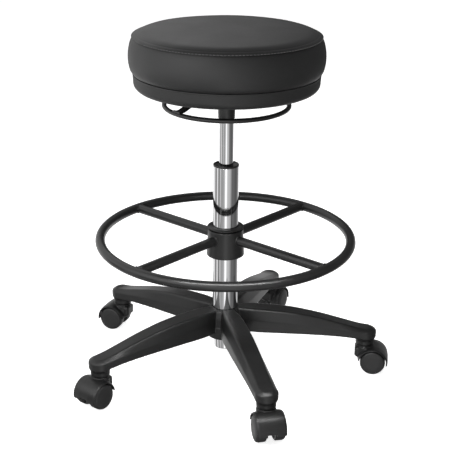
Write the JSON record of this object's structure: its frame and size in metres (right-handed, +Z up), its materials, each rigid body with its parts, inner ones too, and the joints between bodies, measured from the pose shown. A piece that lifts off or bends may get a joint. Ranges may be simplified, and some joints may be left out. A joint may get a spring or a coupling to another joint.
{
  "type": "adjustable swivel stool",
  "caption": "Round padded swivel stool on a gas-lift column with a full-circle release ring, a sliding foot ring and a star base on hooded twin-wheel casters.",
  "frame": {"origin": "on the floor, in the middle of the footprint; the column axis stands at x = -23.6 mm, y = 2.5 mm", "axes": "+Z up along the column, -Y towards the front, +X to the right of someone looking from the front"},
  "size_m": [0.6255, 0.6509, 0.692],
  "materials": {
    "vinyl": "satin leatherette",
    "foam": "open-cell foam",
    "plywood": "raw plywood",
    "pan": "moulded, matte",
    "powder": "black powder coat, satin",
    "chrome": "polished",
    "steel": "plain zinc-plated",
    "nylon": "glass-filled nylon, fine texture",
    "acetal": "black acetal, satin",
    "tread": "black nylon wheel",
    "rubber": "matte black"
  },
  "bodies": {
    "base": {"star_base": "nylon", "column_tube": "chrome", "guide_bushing": "acetal", "retaining_clip": "steel", "washer_lower": "steel", "thrust_bearing": "steel", "caster_front_stem": "steel", "caster_right_stem": "steel", "caster_back_right_stem": "steel", "caster_back_left_stem": "steel", "caster_front_left_stem": "steel"},
    "piston_rod": {"piston_rod": "steel", "piston": "acetal", "rubber_buffer": "rubber", "washer_upper": "steel"},
    "seat": {"seat_cover": "vinyl", "seat_foam": "foam", "seat_board": "plywood", "seat_pan": "pan", "mounting_plate": "powder", "seat_bolt_1": "steel", "seat_bolt_2": "steel", "seat_bolt_3": "steel", "seat_bolt_4": "steel", "seat_socket": "powder", "gas_cylinder": "chrome"},
    "release_ring": {"release_plate": "powder", "release_ring": "powder"},
    "release_pin": {"release_pin": "steel"},
    "foot_collet": {"foot_collet": "acetal"},
    "foot_ring": {"foot_hub": "powder", "foot_ring": "powder", "foot_spoke_1": "powder", "foot_spoke_2": "powder", "foot_spoke_3": "powder", "foot_spoke_4": "powder"},
    "caster_front": {"caster_front_hood": "nylon", "caster_front_axle": "steel"},
    "caster_front_wheel_left": {"caster_front_wheel_left": "tread"},
    "caster_front_wheel_right": {"caster_front_wheel_right": "tread"},
    "caster_right": {"caster_right_hood": "nylon", "caster_right_axle": "steel"},
    "caster_right_wheel_left": {"caster_right_wheel_left": "tread"},
    "caster_right_wheel_right": {"caster_right_wheel_right": "tread"},
    "caster_back_right": {"caster_back_right_hood": "nylon", "caster_back_right_axle": "steel"},
    "caster_back_right_wheel_left": {"caster_back_right_wheel_left": "tread"},
    "caster_back_right_wheel_right": {"caster_back_right_wheel_right": "tread"},
    "caster_back_left": {"caster_back_left_hood": "nylon", "caster_back_left_axle": "steel"},
    "caster_back_left_wheel_left": {"caster_back_left_wheel_left": "tread"},
    "caster_back_left_wheel_right": {"caster_back_left_wheel_right": "tread"},
    "caster_front_left": {"caster_front_left_hood": "nylon", "caster_front_left_axle": "steel"},
    "caster_front_left_wheel_left": {"caster_front_left_wheel_left": "tread"},
    "caster_front_left_wheel_right": {"caster_front_left_wheel_right": "tread"}
  },
  "joints": [
    {"name": "seat_swivel", "type": "hinge", "parent": "base", "child": "piston_rod", "pos_m": [-0.0236, 0.0025, 0.06], "axis": [0, 0, 1], "continuous": true},
    {"name": "seat_lift", "type": "slide", "parent": "piston_rod", "child": "seat", "axis": [0, 0, 1], "range_m": [-0.08, 0.18]},
    {"name": "release_ring_tilt", "type": "hinge", "parent": "seat", "child": "release_ring", "pos_m": [-0.0236, -0.0375, 0.575], "axis": [-1, 0, 0], "range_deg": [0, 4], "stiffness_Nm_per_rad": 20, "springref_deg": -1.72},
    {"name": "release_pin_press", "type": "slide", "parent": "seat", "child": "release_pin", "axis": [0, 0, -1], "range_m": [0, 0.003]},
    {"name": "foot_ring_slide", "type": "slide", "parent": "base", "child": "foot_collet", "axis": [0, 0, 1], "range_m": [-0.1, 0.115]},
    {"name": "foot_ring_twist", "type": "hinge", "parent": "foot_collet", "child": "foot_ring", "pos_m": [-0.0236, 0.0025, 0.282], "axis": [0, 0, 1], "range_deg": [0, 60]},
    {"name": "caster_front_swivel", "type": "hinge", "parent": "base", "child": "caster_front", "pos_m": [0.05288, -0.27142, 0.055], "axis": [0, 0, 1], "continuous": true},
    {"name": "caster_front_roll_left", "type": "hinge", "parent": "caster_front", "child": "caster_front_wheel_left", "pos_m": [0.05702, -0.28894, 0.0254], "axis": [0.9732, 0.23, 0], "continuous": true},
    {"name": "caster_front_roll_right", "type": "hinge", "parent": "caster_front", "child": "caster_front_wheel_right", "pos_m": [0.05702, -0.28894, 0.0254], "axis": [0.9732, 0.23, 0], "continuous": true},
    {"name": "caster_right_swivel", "type": "hinge", "parent": "base", "child": "caster_right", "pos_m": [0.26055, -0.00941, 0.055], "axis": [0, 0, 1], "continuous": true},
    {"name": "caster_right_roll_left", "type": "hinge", "parent": "caster_right", "child": "caster_right_wheel_left", "pos_m": [0.27839, -0.01179, 0.0254], "axis": [0.1323, 0.9912, 0], "continuous": true},
    {"name": "caster_right_roll_right", "type": "hinge", "parent": "caster_right", "child": "caster_right_wheel_right", "pos_m": [0.27839, -0.01179, 0.0254], "axis": [0.1323, 0.9912, 0], "continuous": true},
    {"name": "caster_back_right_swivel", "type": "hinge", "parent": "base", "child": "caster_back_right", "pos_m": [0.07553, 0.26906, 0.055], "axis": [0, 0, 1], "continuous": true},
    {"name": "caster_back_right_roll_left", "type": "hinge", "parent": "caster_back_right", "child": "caster_back_right_wheel_left", "pos_m": [0.08453, 0.28465, 0.0254], "axis": [-0.866, 0.5, 0], "continuous": true},
    {"name": "caster_back_right_roll_right", "type": "hinge", "parent": "caster_back_right", "child": "caster_back_right_wheel_right", "pos_m": [0.08453, 0.28465, 0.0254], "axis": [-0.866, 0.5, 0], "continuous": true},
    {"name": "caster_back_left_swivel", "type": "hinge", "parent": "base", "child": "caster_back_left", "pos_m": [-0.24648, 0.17915, 0.055], "axis": [0, 0, 1], "continuous": true},
    {"name": "caster_back_left_roll_left", "type": "hinge", "parent": "caster_back_left", "child": "caster_back_left_wheel_left", "pos_m": [-0.26314, 0.18598, 0.0254], "axis": [-0.3795, -0.9252, 0], "continuous": true},
    {"name": "caster_back_left_roll_right", "type": "hinge", "parent": "caster_back_left", "child": "caster_back_left_wheel_right", "pos_m": [-0.26314, 0.18598, 0.0254], "axis": [-0.3795, -0.9252, 0], "continuous": true},
    {"name": "caster_front_left_swivel", "type": "hinge", "parent": "base", "child": "caster_front_left", "pos_m": [-0.26048, -0.15488, 0.055], "axis": [0, 0, 1], "continuous": true},
    {"name": "caster_front_left_roll_left", "type": "hinge", "parent": "caster_front_left", "child": "caster_front_left_wheel_left", "pos_m": [-0.27156, -0.16907, 0.0254], "axis": [0.788, -0.6157, 0], "continuous": true},
    {"name": "caster_front_left_roll_right", "type": "hinge", "parent": "caster_front_left", "child": "caster_front_left_wheel_right", "pos_m": [-0.27156, -0.16907, 0.0254], "axis": [0.788, -0.6157, 0], "continuous": true}
  ],
  "couplings": [
    {"joint": "release_pin_press", "follows": "release_ring_tilt", "m_per_rad": 0.04}
  ]
}
